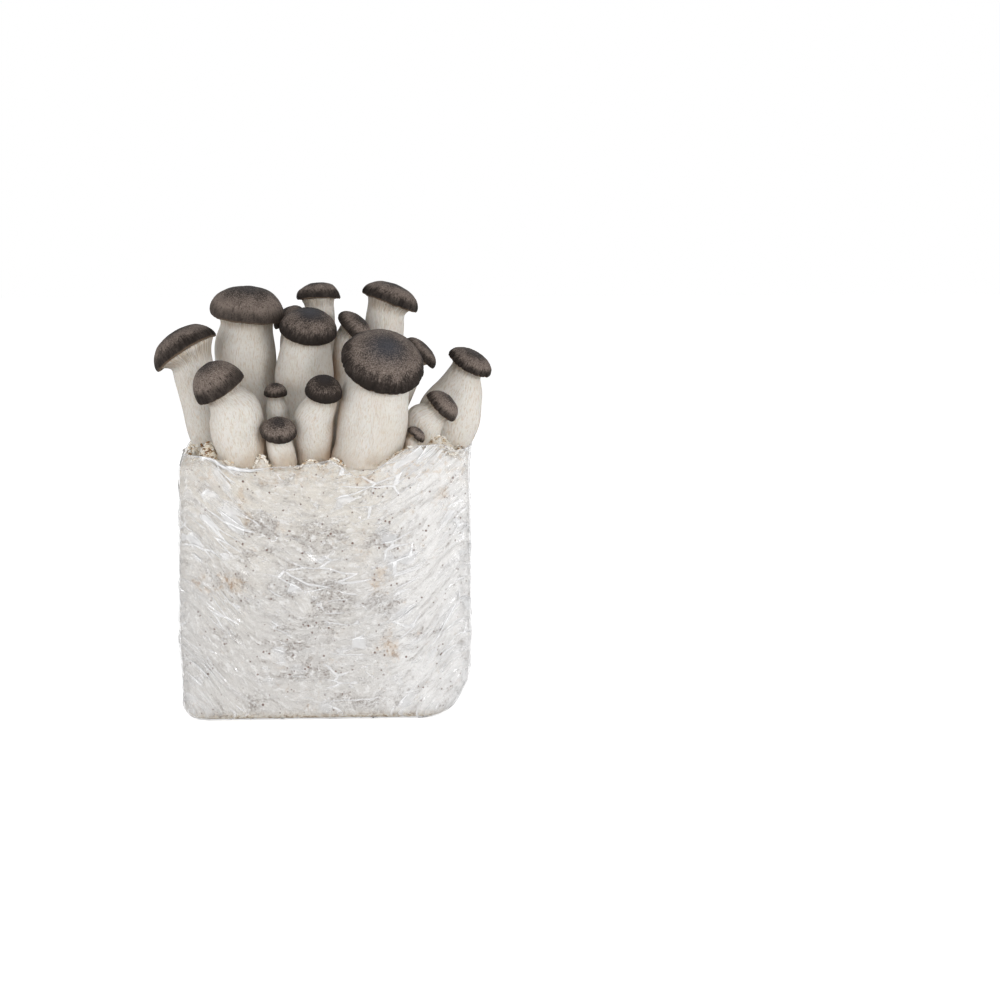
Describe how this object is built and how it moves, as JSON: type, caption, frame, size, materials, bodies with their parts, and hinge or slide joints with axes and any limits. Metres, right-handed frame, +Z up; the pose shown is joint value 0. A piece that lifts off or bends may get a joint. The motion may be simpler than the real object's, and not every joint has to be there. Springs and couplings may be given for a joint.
{
  "type": "oyster mushroom grow kit",
  "caption": "Block of white colonised sawdust in a clear film bag, open at the top, with a cluster of dark-capped, thick-stemmed mushrooms growing out of it.",
  "frame": {"origin": "middle of the bag's flat base, on the surface that it stands on", "axes": "+Z up, +X to the right seen from the front, +Y away from the front, where the front is the side of the picture"},
  "size_m": [0.2284, 0.1343, 0.286],
  "materials": {
    "block": "matte",
    "film": "gloss",
    "stem": "satin",
    "cap": "matte"
  },
  "bodies": {
    "root": {"block": "block", "bag": "film", "stem_01": "stem", "stem_02": "stem", "stem_03": "stem", "stem_04": "stem", "stem_05": "stem", "stem_06": "stem", "stem_07": "stem", "stem_08": "stem", "stem_09": "stem", "stem_10": "stem", "stem_11": "stem", "stem_12": "stem", "stem_13": "stem", "stem_14": "stem", "stem_15": "stem", "stem_16": "stem", "cap_01": "cap", "cap_02": "cap", "cap_03": "cap", "cap_04": "cap", "cap_05": "cap", "cap_06": "cap", "cap_07": "cap", "cap_08": "cap", "cap_09": "cap", "cap_10": "cap", "cap_11": "cap", "cap_12": "cap", "cap_13": "cap", "cap_14": "cap", "cap_15": "cap", "cap_16": "cap"}
  },
  "joints": []
}
